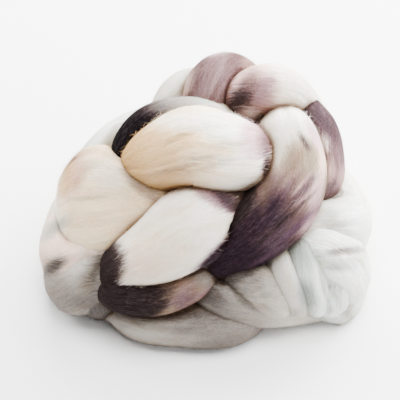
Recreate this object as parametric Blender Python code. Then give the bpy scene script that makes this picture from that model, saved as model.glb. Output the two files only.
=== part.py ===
"""A bundle of wool roving: one length of combed, hand-dyed wool, chain-plaited and heaped.

The wool is one piece, so the bundle is one closed solid. It is the union of the legs and loops
in which the roving lies over itself, round a soft heart, standing on the flat that its own
weight presses. Tables give each leg's route, width and thickness in millimetres.
"""

import math
from collections import namedtuple

import bmesh
import bpy
import numpy as np
from mathutils import Matrix, Vector

MM = 0.001

# The front of the bundle is laid out on a plane that slants back from the floor, square to
# somebody who looks down at it. The plane passes through the middle of the bundle.
SLANT = math.radians(50)
MIDDLE_HEIGHT = 60.0

# The heart: the wool inside, which no leg's table describes.
HEART_CENTRE = Vector((4.0, 8.0, 47.0))
HEART_HALF_SIZE = (72.0, 56.0, 49.0)

# How a leg is meshed.
SIDES = 24
RING_STEP = 7.5
CAP_RINGS = 3
WELD = 0.01

# What the floor takes off the lowest legs.
PRESSED_FLAT = 2.0
FLOOR_HALF_SIZE = 200.0
FLOOR_DEPTH = 60.0

NODE = "roving"
UNDYED_WOOL = (0.86, 0.83, 0.79, 1.0)
WOOL_ROUGHNESS = 0.95

Row = namedtuple("Row", "x y z wide thick")


def seen(across, up, near, wide, thick):
    """A row placed on the slanting plane: across it, up it, and out of it towards the viewer."""
    y = up * math.sin(SLANT) - near * math.cos(SLANT)
    z = MIDDLE_HEIGHT + up * math.cos(SLANT) + near * math.sin(SLANT)
    return Row(across, y, z, wide, thick)


def level(x, y, z, wide, thick):
    """A row placed from the floor: right, back and height."""
    return Row(x, y, z, wide, thick)


# Each leg runs from one buried end to the other. wide is measured along the bundle's surface
# and thick is measured out of it.
LEGS = {
    # The plait, from its head at the top back to its last loop at the front left.
    "crown_loop": [
        seen(-40, 22, -6, 16, 20),
        seen(-34, 22, 12, 27, 30),
        seen(-21, 26, 27, 43, 38),
        seen(-4, 31, 33, 50, 42),
        seen(11, 28, 30, 50, 40),
        seen(22, 28, 20, 50, 36),
        seen(30, 28, 2, 44, 32),
    ],
    "front_loop": [
        seen(27, 2, 4, 30, 30),
        seen(15, -5, 22, 46, 36),
        seen(-5, -15, 31, 49, 40),
        seen(-25, -29, 30, 41, 38),
        seen(-42, -39, 21, 33, 32),
        seen(-55, -45, 8, 28, 27),
    ],
    "front_return": [
        seen(-50, -40, 6, 22, 24),
        seen(-50, -52, 16, 25, 26),
        seen(-37, -55, 22, 27, 27),
        seen(-22, -54, 22, 27, 27),
        seen(-5, -47, 16, 26, 26),
        seen(9, -38, 4, 22, 24),
    ],
    "right_loop": [
        seen(52, 47, -25, 32, 28),
        seen(54, 35, -2, 40, 34),
        seen(56, 16, 16, 40, 36),
        seen(48, -3, 24, 44, 36),
        seen(31, -18, 25, 44, 36),
        seen(11, -30, 15, 38, 32),
        seen(-5, -40, -2, 28, 28),
    ],
    "right_return": [
        seen(64, 56, -26, 20, 20),
        seen(73, 42, -14, 22, 22),
        seen(76, 26, -8, 22, 22),
        seen(75, 12, -5, 22, 22),
        seen(66, 0, -4, 20, 20),
    ],
    "head_loop": [
        seen(22.8, 50.1, -21, 24, 24),
        seen(25.7, 57.6, -15, 28, 27),
        seen(31.2, 63.5, -11, 32, 30),
        seen(38.4, 66.9, -10, 33, 31),
        seen(46.4, 67.3, -12, 31, 31),
        seen(54, 64.7, -17, 27, 30),
        seen(60, 59.4, -24, 23, 28),
        seen(63.7, 52.3, -32, 23, 27),
        level(64, 46, 39, 24, 25),
    ],
    "head_return": [
        level(42, 68, 40, 24, 26),
        level(36, 80, 56, 26, 28),
        level(27, 82, 74, 30, 30),
        level(16, 76, 89, 32, 30),
        level(6, 63, 94, 30, 28),
        level(1, 46, 88, 26, 26),
    ],
    "dark_bend": [
        seen(-44, 16, 6, 20, 20),
        seen(-40, 32, 9, 25, 25),
        seen(-30, 44, 8, 27, 25),
        seen(-16, 49, 5, 27, 25),
        seen(0, 49, -2, 26, 25),
        seen(14, 46, -12, 22, 24),
    ],
    # The loose turns under the plait.
    "back_shoulder": [
        level(6, 66, 38, 26, 26),
        seen(8, 62, -52, 28, 28),
        seen(-4, 68, -38, 30, 29),
        seen(-14, 62, -30, 30, 28),
        seen(-20, 48, -28, 28, 26),
    ],
    "left_shoulder": [
        seen(-18, 44, -38, 36, 34),
        seen(-44, 34, -28, 42, 36),
        seen(-62, 18, -28, 40, 34),
        seen(-70, 0, -34, 32, 30),
    ],
    "left_spread": [
        seen(0, -6, 12, 44, 30),
        seen(-20, -4, 18, 46, 32),
        seen(-38, -3, 15, 52, 34),
        seen(-55, -4, 9, 74, 36),
        seen(-69, -7, -12, 72, 36),
        level(-69, 28, 36, 54, 32),
    ],
    "left_lower": [
        level(-20, -24, 58, 34, 32),
        level(-48, -30, 46, 36, 32),
        level(-70, -30, 33, 38, 34),
        level(-80, -14, 26, 38, 36),
        level(-76, 13, 26, 42, 34),
    ],
    "left_tuck": [
        seen(-40, -35, 10, 28, 28),
        seen(-58, -44, 10, 34, 32),
        seen(-75, -52, -4, 36, 33),
        level(-81, -19, 15, 32, 30),
    ],
    "left_drop": [
        seen(-50, -36, 8, 20, 22),
        seen(-60, -48, 9, 26, 26),
        seen(-62, -56, 0, 28, 28),
        seen(-60, -60, -16, 26, 26),
    ],
    "front_turn": [
        seen(-48, -66, -10, 22, 22),
        seen(-34, -71, 0, 29, 28),
        seen(-12, -73, 2, 31, 30),
        seen(8, -74, 2, 31, 30),
        seen(24, -72, -2, 28, 26),
        seen(36, -60, -16, 22, 24),
    ],
    "right_turn": [
        level(58, -18, 52, 34, 32),
        level(77, -11, 43, 43, 38),
        level(87, 3, 31, 47, 37),
        level(85, 20, 27, 45, 36),
        level(71, 42, 26, 45, 38),
    ],
    "right_ridge": [
        seen(54, -20, 10, 18, 18),
        seen(63, -38, 15, 23, 21),
        seen(70, -56, 6, 23, 21),
        seen(69, -63, -14, 20, 20),
    ],
    "right_pleat": [
        seen(44, -24, 10, 20, 18),
        seen(52, -44, 14, 24, 21),
        seen(58, -59, 4, 23, 21),
        seen(57, -63, -12, 20, 20),
    ],
    "right_fold": [
        seen(16, -40, 2, 26, 24),
        seen(30, -49, 10, 34, 28),
        seen(42, -57, 8, 30, 28),
        seen(50, -64, -8, 26, 26),
    ],
    "right_knob": [
        seen(71, -38, 6, 20, 20),
        seen(79, -54, 4, 26, 25),
        seen(78, -62, -12, 24, 24),
    ],
    "right_rim": [
        seen(-2, -46, 2, 24, 24),
        seen(14, -58, 8, 28, 28),
        seen(34, -64, 4, 26, 24),
        seen(58, -64, -6, 24, 24),
        seen(76, -58, -20, 28, 28),
        seen(82, -44, -34, 28, 28),
    ],
    "right_drop": [
        level(50, -18, 52, 32, 28),
        level(70, -25, 44, 44, 35),
        level(83, -31, 29, 48, 36),
        level(84, -33, 11, 42, 34),
    ],
    # The turns behind.
    "back_turn": [
        level(-68, 2, 27, 46, 36),
        level(-58, 32, 27, 50, 40),
        level(-40, 58, 27, 54, 44),
        level(-2, 68, 27, 54, 46),
        level(36, 60, 27, 54, 44),
        level(62, 36, 27, 52, 42),
        level(72, 8, 28, 50, 40),
    ],
    "back_rise": [
        level(62, 34, 48, 36, 34),
        level(30, 60, 62, 40, 36),
        level(-8, 58, 69, 42, 36),
        level(-39, 38, 57, 40, 36),
        level(-60, 14, 48, 36, 34),
    ],
}


def spline(values, at):
    """Catmull-Rom curve through evenly numbered values, read at fractional numbers."""
    values = np.asarray(values, float)
    first, last = 2 * values[0] - values[1], 2 * values[-1] - values[-2]
    padded = np.vstack([first, values, last])
    index = np.clip(np.floor(at).astype(int), 0, len(values) - 2)
    t = (at - index)[:, None]
    before, start, end, after = (padded[index + k] for k in range(4))
    return 0.5 * (
        2 * start
        + (end - before) * t
        + (2 * before - 5 * start + 4 * end - after) * t**2
        + (3 * start - before - 3 * end + after) * t**3
    )


def sections(rows, step):
    """The rows' curve read at even distances: centres, widths, thicknesses and ways."""
    fine = spline(rows, np.linspace(0, len(rows) - 1, 60 * len(rows)))
    gaps = np.linalg.norm(np.diff(fine[:, :3], axis=0), axis=1)
    along = np.concatenate([[0], np.cumsum(gaps)])
    count = max(4, round(along[-1] / step) + 1)
    even = np.linspace(0, along[-1], count)
    read = np.stack([np.interp(even, along, column) for column in fine.T], axis=1)
    ways = np.gradient(read[:, :3], axis=0)
    ways /= np.linalg.norm(ways, axis=1, keepdims=True)
    return read[:, :3], read[:, 3], read[:, 4], ways


def ring_points(centre, way, wide, thick):
    """One oval section, its thin way pointing out of the bundle."""
    out = Vector(centre) - HEART_CENTRE
    way = Vector(way)
    out = (out - out.dot(way) * way).normalized()
    side = way.cross(out)
    points = []
    for k in range(SIDES):
        turn = 2 * math.pi * k / SIDES
        offset = side * (math.cos(turn) * wide / 2) + out * (math.sin(turn) * thick / 2)
        points.append(Vector(centre) + offset)
    return points


def leg_rings(rows):
    """The rings of one leg from end to end, with both ends rounded off, and its two poles."""
    centres, wides, thicks, ways = sections(rows, RING_STEP)
    rings = []
    for end, sign in ((0, -1), (-1, 1)):
        reach = 0.5 * min(wides[end], thicks[end])
        cap = []
        for k in range(1, CAP_RINGS):
            turn = 0.5 * math.pi * k / CAP_RINGS
            centre = centres[end] + sign * reach * math.sin(turn) * ways[end]
            shrink = math.cos(turn)
            size = wides[end] * shrink, thicks[end] * shrink
            cap.append(ring_points(centre, ways[end], *size))
        pole = Vector(centres[end] + sign * reach * ways[end])
        rings.append((cap, pole))
    body = [ring_points(*section) for section in zip(centres, ways, wides, thicks)]
    (first_cap, first_pole), (last_cap, last_pole) = rings
    return first_pole, first_cap[::-1] + body + last_cap, last_pole


def leg_mesh(name, rows):
    """One leg of roving as a closed mesh."""
    first_pole, rings, last_pole = leg_rings(rows)
    points = [point for ring in rings for point in ring] + [first_pole, last_pole]
    faces = []
    for r in range(len(rings) - 1):
        for k in range(SIDES):
            low, high = r * SIDES, (r + 1) * SIDES
            after = (k + 1) % SIDES
            faces.append((low + k, low + after, high + after, high + k))
    start, end = len(points) - 2, len(points) - 1
    last = (len(rings) - 1) * SIDES
    for k in range(SIDES):
        after = (k + 1) % SIDES
        faces.append((start, after, k))
        faces.append((end, last + k, last + after))
    mesh = bpy.data.meshes.new(name)
    mesh.from_pydata([point * MM for point in points], [], faces)
    mesh.shade_smooth()
    return mesh


def helper(name, mesh, collection):
    """An object that only takes part in a Boolean."""
    thing = bpy.data.objects.new(name, mesh)
    collection.objects.link(thing)
    thing.hide_render = True
    thing.display_type = "WIRE"
    return thing


def heart_mesh():
    """The wool inside the bundle, as a rounded lump."""
    bpy.ops.mesh.primitive_uv_sphere_add(segments=24, ring_count=14, radius=MM)
    ball = bpy.context.object
    mesh = ball.data
    for vertex in mesh.vertices:
        for k in range(3):
            vertex.co[k] = vertex.co[k] * HEART_HALF_SIZE[k] + HEART_CENTRE[k] * MM
    bpy.data.objects.remove(ball)
    mesh.shade_smooth()
    return mesh


def floor_mesh():
    """What lies under the bundle, up to the height at which the lowest legs are pressed flat."""
    bpy.ops.mesh.primitive_cube_add(size=2)
    block = bpy.context.object
    mesh = block.data
    half = (FLOOR_HALF_SIZE, FLOOR_HALF_SIZE, FLOOR_DEPTH / 2)
    for vertex in mesh.vertices:
        for k in range(3):
            vertex.co[k] = vertex.co[k] * half[k] * MM
        vertex.co.z += (PRESSED_FLAT - FLOOR_DEPTH / 2) * MM
    bpy.data.objects.remove(block)
    return mesh


def drop_inner_pockets(mesh):
    """Keep only the outer skin: a pocket that the legs close off is full of wool."""
    skin = bmesh.new()
    skin.from_mesh(mesh)
    bmesh.ops.remove_doubles(skin, verts=skin.verts, dist=WELD * MM)
    shells, left = [], set(skin.verts)
    while left:
        shell, reached = set(), [left.pop()]
        while reached:
            vertex = reached.pop()
            shell.add(vertex)
            for edge in vertex.link_edges:
                other = edge.other_vert(vertex)
                if other in left:
                    left.remove(other)
                    reached.append(other)
        shells.append(shell)
    shells.sort(key=len)
    for shell in shells[:-1]:
        bmesh.ops.delete(skin, geom=list(shell), context="VERTS")
    skin.to_mesh(mesh)
    skin.free()


def stand_at_origin(mesh):
    """Move the bundle so that the middle of its box's base is the origin."""
    points = np.array([vertex.co for vertex in mesh.vertices])
    low, high = points.min(axis=0), points.max(axis=0)
    mesh.transform(Matrix.Translation((-(low[0] + high[0]) / 2, -(low[1] + high[1]) / 2, -low[2])))


def wool_material():
    material = bpy.data.materials.new("undyed_wool")
    material.use_nodes = True
    shader = material.node_tree.nodes["Principled BSDF"]
    shader.inputs["Base Color"].default_value = UNDYED_WOOL
    shader.inputs["Roughness"].default_value = WOOL_ROUGHNESS
    shader.inputs["Metallic"].default_value = 0.0
    return material


def main():
    for thing in list(bpy.data.objects):
        bpy.data.objects.remove(thing)
    scene = bpy.context.scene
    legs = bpy.data.collections.new("legs")
    scene.collection.children.link(legs)
    helpers = [helper(name, leg_mesh(name, rows), legs) for name, rows in LEGS.items()]
    floor = helper("floor", floor_mesh(), scene.collection)
    heart = helper("heart", heart_mesh(), scene.collection)

    join = heart.modifiers.new("join_legs", "BOOLEAN")
    join.operation = "UNION"
    join.operand_type = "COLLECTION"
    join.collection = legs
    join.use_self = True
    press = heart.modifiers.new("press_flat", "BOOLEAN")
    press.operation = "DIFFERENCE"
    press.object = floor
    joined = heart.evaluated_get(bpy.context.evaluated_depsgraph_get())
    mesh = bpy.data.meshes.new_from_object(joined)
    mesh.name = NODE
    drop_inner_pockets(mesh)
    stand_at_origin(mesh)
    for thing in helpers + [floor, heart]:
        bpy.data.objects.remove(thing)

    roving = bpy.data.objects.new(NODE, mesh)
    scene.collection.objects.link(roving)
    mesh.materials.clear()
    mesh.materials.append(wool_material())


if __name__ == "__main__":
    main()
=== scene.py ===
"""The looks of the wool roving: its legs in full relief, its dye, its fibres, and the studio."""

import math
from collections import namedtuple

import bpy
import numpy as np
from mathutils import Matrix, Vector
from mathutils.bvhtree import BVHTree


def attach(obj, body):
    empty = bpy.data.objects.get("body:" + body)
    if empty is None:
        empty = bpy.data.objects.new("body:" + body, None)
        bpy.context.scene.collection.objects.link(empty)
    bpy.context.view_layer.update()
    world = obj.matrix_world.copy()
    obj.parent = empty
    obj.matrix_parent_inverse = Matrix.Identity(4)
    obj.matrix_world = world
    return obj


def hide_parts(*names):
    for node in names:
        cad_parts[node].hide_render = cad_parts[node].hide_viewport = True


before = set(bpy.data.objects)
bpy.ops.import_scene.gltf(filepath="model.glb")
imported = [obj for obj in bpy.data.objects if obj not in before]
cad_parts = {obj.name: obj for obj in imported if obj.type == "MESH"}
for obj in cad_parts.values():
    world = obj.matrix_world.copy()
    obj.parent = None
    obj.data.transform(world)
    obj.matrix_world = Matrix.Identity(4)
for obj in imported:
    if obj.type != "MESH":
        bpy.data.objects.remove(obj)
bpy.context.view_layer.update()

MM = 0.001
NODE = "roving"
SEED = 7

# The frame in which the legs are laid out, in millimetres. The front of the bundle lies on a
# plane that slants back from the floor, and the model's origin is at ORIGIN in that frame.
SLANT = math.radians(50)
MIDDLE_HEIGHT = 60.0
HEART = np.array((4.0, 8.0, 47.0))
HEART_HALF_SIZE = np.array((72.0, 56.0, 49.0))
HEART_SPAN, HEART_ROWS = 0.93, 9
ORIGIN = np.array((3.942, 11.802, 2.0))
UP = np.array((0.0, math.sin(SLANT), math.cos(SLANT)))
NEAR = np.array((0.0, -math.cos(SLANT), math.sin(SLANT)))
MIDDLE = np.array((0.0, 0.0, MIDDLE_HEIGHT))
VIEW_DISTANCE = 1000.0

# The outer side of a leg faces away from HEART, and that of the heart itself from here.
FAR_BELOW = HEART - (0, 0, 100)

# How finely a leg is meshed, in millimetres round it and along it, and how many sides it may have.
ROUND_STEP = 0.95
LONG_STEP = 2.6
SIDES = (40, 170)
CAP_RINGS = 7
LEAST_SECTION = 0.0004

# Faces deeper than this in the bundle's solid are left out, and fibres that root deeper than the
# second depth, in millimetres.
BURIED = 3.5
BURIED_ROOT = 1.2

# Nothing sinks into the floor: what would is pressed flat just above it, in metres.
ABOVE_FLOOR = 0.0002

Row = namedtuple("Row", "x y z wide thick")


def seen(across, up, near, wide, thick):
    """A row placed on the slanting plane: across it, up it, and out of it towards the viewer."""
    y = up * math.sin(SLANT) - near * math.cos(SLANT)
    z = MIDDLE_HEIGHT + up * math.cos(SLANT) + near * math.sin(SLANT)
    return Row(across, y, z, wide, thick)


def level(x, y, z, wide, thick):
    """A row placed from the floor: right, back and height."""
    return Row(x, y, z, wide, thick)


# Each leg runs from one buried end to the other. wide is measured along the bundle's surface
# and thick is measured out of it.
LEGS = {
    # The plait, from its head at the top back to its last loop at the front left.
    "crown_loop": [
        seen(-40, 22, -6, 16, 20),
        seen(-34, 22, 12, 27, 30),
        seen(-21, 26, 27, 43, 38),
        seen(-4, 31, 33, 50, 42),
        seen(11, 28, 30, 50, 40),
        seen(22, 28, 20, 50, 36),
        seen(30, 28, 2, 44, 32),
    ],
    "front_loop": [
        seen(27, 2, 4, 30, 30),
        seen(15, -5, 22, 46, 36),
        seen(-5, -15, 31, 49, 40),
        seen(-25, -29, 30, 41, 38),
        seen(-42, -39, 21, 33, 32),
        seen(-55, -45, 8, 28, 27),
    ],
    "front_return": [
        seen(-50, -40, 6, 22, 24),
        seen(-50, -52, 16, 25, 26),
        seen(-37, -55, 22, 27, 27),
        seen(-22, -54, 22, 27, 27),
        seen(-5, -47, 16, 26, 26),
        seen(9, -38, 4, 22, 24),
    ],
    "right_loop": [
        seen(52, 47, -25, 32, 28),
        seen(54, 35, -2, 40, 34),
        seen(56, 16, 16, 40, 36),
        seen(48, -3, 24, 44, 36),
        seen(31, -18, 25, 44, 36),
        seen(11, -30, 15, 38, 32),
        seen(-5, -40, -2, 28, 28),
    ],
    "right_return": [
        seen(64, 56, -26, 20, 20),
        seen(73, 42, -14, 22, 22),
        seen(76, 26, -8, 22, 22),
        seen(75, 12, -5, 22, 22),
        seen(66, 0, -4, 20, 20),
    ],
    "head_loop": [
        seen(22.8, 50.1, -21, 24, 24),
        seen(25.7, 57.6, -15, 28, 27),
        seen(31.2, 63.5, -11, 32, 30),
        seen(38.4, 66.9, -10, 33, 31),
        seen(46.4, 67.3, -12, 31, 31),
        seen(54, 64.7, -17, 27, 30),
        seen(60, 59.4, -24, 23, 28),
        seen(63.7, 52.3, -32, 23, 27),
        level(64, 46, 39, 24, 25),
    ],
    "head_return": [
        level(42, 68, 40, 24, 26),
        level(36, 80, 56, 26, 28),
        level(27, 82, 74, 30, 30),
        level(16, 76, 89, 32, 30),
        level(6, 63, 94, 30, 28),
        level(1, 46, 88, 26, 26),
    ],
    "dark_bend": [
        seen(-44, 16, 6, 20, 20),
        seen(-40, 32, 9, 25, 25),
        seen(-30, 44, 8, 27, 25),
        seen(-16, 49, 5, 27, 25),
        seen(0, 49, -2, 26, 25),
        seen(14, 46, -12, 22, 24),
    ],
    # The loose turns under the plait.
    "back_shoulder": [
        level(6, 66, 38, 26, 26),
        seen(8, 62, -52, 28, 28),
        seen(-4, 68, -38, 30, 29),
        seen(-14, 62, -30, 30, 28),
        seen(-20, 48, -28, 28, 26),
    ],
    "left_shoulder": [
        seen(-18, 44, -38, 36, 34),
        seen(-44, 34, -28, 42, 36),
        seen(-62, 18, -28, 40, 34),
        seen(-70, 0, -34, 32, 30),
    ],
    "left_spread": [
        seen(0, -6, 12, 44, 30),
        seen(-20, -4, 18, 46, 32),
        seen(-38, -3, 15, 52, 34),
        seen(-55, -4, 9, 74, 36),
        seen(-69, -7, -12, 72, 36),
        level(-69, 28, 36, 54, 32),
    ],
    "left_lower": [
        level(-20, -24, 58, 34, 32),
        level(-48, -30, 46, 36, 32),
        level(-70, -30, 33, 38, 34),
        level(-80, -14, 26, 38, 36),
        level(-76, 13, 26, 42, 34),
    ],
    "left_tuck": [
        seen(-40, -35, 10, 28, 28),
        seen(-58, -44, 10, 34, 32),
        seen(-75, -52, -4, 36, 33),
        level(-81, -19, 15, 32, 30),
    ],
    "left_drop": [
        seen(-50, -36, 8, 20, 22),
        seen(-60, -48, 9, 26, 26),
        seen(-62, -56, 0, 28, 28),
        seen(-60, -60, -16, 26, 26),
    ],
    "front_turn": [
        seen(-48, -66, -10, 22, 22),
        seen(-34, -71, 0, 29, 28),
        seen(-12, -73, 2, 31, 30),
        seen(8, -74, 2, 31, 30),
        seen(24, -72, -2, 28, 26),
        seen(36, -60, -16, 22, 24),
    ],
    "right_turn": [
        level(58, -18, 52, 34, 32),
        level(77, -11, 43, 43, 38),
        level(87, 3, 31, 47, 37),
        level(85, 20, 27, 45, 36),
        level(71, 42, 26, 45, 38),
    ],
    "right_ridge": [
        seen(54, -20, 10, 18, 18),
        seen(63, -38, 15, 23, 21),
        seen(70, -56, 6, 23, 21),
        seen(69, -63, -14, 20, 20),
    ],
    "right_pleat": [
        seen(44, -24, 10, 20, 18),
        seen(52, -44, 14, 24, 21),
        seen(58, -59, 4, 23, 21),
        seen(57, -63, -12, 20, 20),
    ],
    "right_fold": [
        seen(16, -40, 2, 26, 24),
        seen(30, -49, 10, 34, 28),
        seen(42, -57, 8, 30, 28),
        seen(50, -64, -8, 26, 26),
    ],
    "right_knob": [
        seen(71, -38, 6, 20, 20),
        seen(79, -54, 4, 26, 25),
        seen(78, -62, -12, 24, 24),
    ],
    "right_rim": [
        seen(-2, -46, 2, 24, 24),
        seen(14, -58, 8, 28, 28),
        seen(34, -64, 4, 26, 24),
        seen(58, -64, -6, 24, 24),
        seen(76, -58, -20, 28, 28),
        seen(82, -44, -34, 28, 28),
    ],
    "right_drop": [
        level(50, -18, 52, 32, 28),
        level(70, -25, 44, 44, 35),
        level(83, -31, 29, 48, 36),
        level(84, -33, 11, 42, 34),
    ],
    # The turns behind.
    "back_turn": [
        level(-68, 2, 27, 46, 36),
        level(-58, 32, 27, 50, 40),
        level(-40, 58, 27, 54, 44),
        level(-2, 68, 27, 54, 46),
        level(36, 60, 27, 54, 44),
        level(62, 36, 27, 52, 42),
        level(72, 8, 28, 50, 40),
    ],
    "back_rise": [
        level(62, 34, 48, 36, 34),
        level(30, 60, 62, 40, 36),
        level(-8, 58, 69, 42, 36),
        level(-39, 38, 57, 40, 36),
        level(-60, 14, 48, 36, 34),
    ],
}

# Dyes, as linear colours. The greys and browns also serve as painted shade where marked.
WHITE = (0.86, 0.81, 0.74, 1)
COOL = (0.78, 0.82, 0.78, 1)
CREAM = (0.84, 0.67, 0.45, 1)
HONEY = (0.70, 0.47, 0.24, 1)
PEACH = (0.54, 0.33, 0.13, 1)
APRICOT = (0.58, 0.38, 0.27, 1)
BLUSH = (0.78, 0.56, 0.46, 1)
PINK = (0.50, 0.32, 0.34, 1)
GREY = (0.56, 0.53, 0.47, 1)
STONE = (0.36, 0.32, 0.28, 1)
DUST = (0.20, 0.175, 0.155, 1)
ASH = (0.085, 0.072, 0.066, 1)
SAGE = (0.30, 0.33, 0.30, 1)
OLIVE = (0.24, 0.20, 0.145, 1)
TAN = (0.175, 0.115, 0.080, 1)
BROWN = (0.080, 0.052, 0.038, 1)
UMBER = (0.030, 0.019, 0.014, 1)
ROSE = (0.22, 0.125, 0.135, 1)
MAUVE = (0.110, 0.064, 0.068, 1)
RUSSET = (0.078, 0.044, 0.040, 1)
PLUM = (0.042, 0.025, 0.030, 1)
VIOLET = (0.058, 0.029, 0.048, 1)
PURPLE = (0.0130, 0.0062, 0.0106, 1)
SOOT = (0.013, 0.0080, 0.0081, 1)
INK = (0.0022, 0.0014, 0.0019, 1)

# Dyes are mixed by how dense they are, as they are in the wool. DENSEST is the density that
# the materials' colour scale ends at.
DENSEST = 8.0

# Painted shade: what the colour is multiplied by deep in a crevice and in the hollows beside it,
# where the shade falls. The painted shade is lighter between the pale legs.
PAINTED_CREVICE_SHADE = (0.40, 0.31, 0.25, 1)
PAINTED_HOLLOW_SHADE = (0.74, 0.69, 0.63, 1)
PALE_CREVICE_SHADE = (0.58, 0.55, 0.52, 1)
PALE_HOLLOW_SHADE = (0.82, 0.80, 0.77, 1)
PALE_LEGS = (
    "right_turn", "right_drop", "right_ridge", "right_pleat", "right_fold", "right_knob",
    "right_rim",
)

# How far the wool has to be open for no such darkening, in millimetres: crevices, then hollows.
OPEN_REACHES = (4.0, 13.0)

# What the colour is multiplied by in a crease, as painted shade, and where the undyed wool has
# aged.
PAINTED_CREASE_SHADE = (0.42, 0.41, 0.38, 1)
AGED = (0.90, 0.82, 0.73, 1)

# How far the colour varies from spot to spot, and the painted glint that single fibres add.
MOTTLED = 0.30
MOTTLE_SCALE = 0.4
PAINTED_GLINT = (0.017, 0.013, 0.014)

# Noise in the dye and on the surface: its size across the fibres and along them, in mm, and its
# detail.
Noise = namedtuple("Noise", "across along detail")
WANDER = Noise(0.9, 13, 2.0)
BROAD = Noise(6.0, 24, 1.0)
SINGLE = Noise(0.5, 12, 2.0)
LOCK = Noise(2.2, 26, 1.0)
CLOUD = Noise(9, 14, 1.0)
FLECK = Noise(1.3, 1.3, 3.0)
AGE = Noise(7, 15, 2.0)
HAIR = Noise(0.7, 4, 2.0)
RIDGE = Noise(1.2, 20, 1.0)

# The dye along each leg, and painted shade where marked: how far along it, from 0 to 1, and the
# colour there.
BANDS = {
    "crown_loop": [
        (0, PEACH), (0.24, PEACH), (0.42, HONEY), (0.58, CREAM), (0.72, WHITE), (0.86, WHITE),
        (0.95, PINK), (1, ROSE),
    ],
    # The umber at the start is partly plum dye, partly painted shadow where the loop goes under.
    "front_loop": [
        (0, UMBER), (0.08, PLUM), (0.15, ROSE), (0.22, WHITE), (0.83, WHITE), (0.9, SOOT),
        (1, SOOT),
    ],
    # The ash at the end is painted shadow in the dark gap at the middle front.
    "front_return": [(0, SOOT), (0.48, SOOT), (0.57, BROWN), (0.66, TAN), (0.8, DUST), (1, ASH)],
    "right_loop": [
        (0, WHITE), (0.14, WHITE), (0.26, GREY), (0.34, OLIVE), (0.43, TAN), (0.53, RUSSET),
        (0.61, PLUM), (0.69, PURPLE), (1, PURPLE),
    ],
    "right_return": [
        (0, PLUM), (0.3, PLUM), (0.48, MAUVE), (0.62, MAUVE), (0.72, ROSE), (0.84, MAUVE),
        (0.94, MAUVE), (1, SAGE),
    ],
    "head_loop": [(0, ROSE), (0.15, PINK), (0.24, BLUSH), (0.34, WHITE), (1, WHITE)],
    "head_return": [(0, STONE), (0.2, ROSE), (0.45, MAUVE), (0.6, ROSE), (0.8, MAUVE), (1, RUSSET)],
    "dark_bend": [
        (0, INK), (0.35, INK), (0.41, SOOT), (0.48, ASH), (0.59, DUST), (0.73, SAGE), (0.88, GREY),
        (1, COOL),
    ],
    "back_shoulder": [(0, WHITE), (1, GREY)],
    "left_shoulder": [(0, GREY), (0.5, COOL), (1, GREY)],
    "left_spread": [(0, HONEY), (0.3, CREAM), (0.55, CREAM), (0.85, WHITE), (1, WHITE)],
    "left_lower": [(0, CREAM), (0.2, WHITE), (0.6, BLUSH), (1, WHITE)],
    # Stone and dust: partly grey-brown wool, partly painted shade on this low tuck.
    "left_tuck": [(0, STONE), (0.4, STONE), (0.7, DUST), (1, STONE)],
    # Ash grey: partly grey wool, partly painted shade under the dark elbow.
    "left_drop": [(0, ASH), (1, ASH)],
    # Stone and dust: partly greyish-brown wool, partly painted shade on the low front.
    "front_turn": [(0, STONE), (0.3, STONE), (0.6, DUST), (1, DUST)],
    "right_turn": [(0, GREY), (0.3, COOL), (1, WHITE)],
    "right_drop": [(0, COOL), (1, COOL)],
    "right_ridge": [(0, DUST), (0.22, SAGE), (0.4, COOL), (1, COOL)],
    "right_pleat": [(0, STONE), (0.3, GREY), (1, GREY)],
    # The ash start is painted shadow in the dark gap at the middle front; the greys are partly grey
    # wool, mostly painted shade on this low fold.
    "right_fold": [(0, ASH), (0.25, DUST), (0.5, STONE), (0.8, GREY), (1, GREY)],
    "right_knob": [(0, SAGE), (0.4, COOL), (1, COOL)],
    # The ash start is painted shadow in the dark gap at the middle front; the greys are partly grey
    # wool, mostly painted shade on this low rim.
    "right_rim": [(0, ASH), (0.2, DUST), (0.38, STONE), (0.55, GREY), (1, GREY)],
    "back_turn": [
        (0, BLUSH), (0.16, BLUSH), (0.24, CREAM), (0.33, PINK), (0.4, MAUVE), (0.48, PINK),
        (0.6, WHITE), (0.8, COOL), (1, COOL),
    ],
    "back_rise": [(0, WHITE), (0.3, BLUSH), (0.5, WHITE), (0.8, CREAM), (1, GREY)],
    # The heart's dark grey is painted shade where it shows between the legs.
    "heart": [(0, DUST), (1, DUST)],
}

Patch = namedtuple("Patch", "across up long short turn colour strength feather", defaults=(1,))
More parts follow.
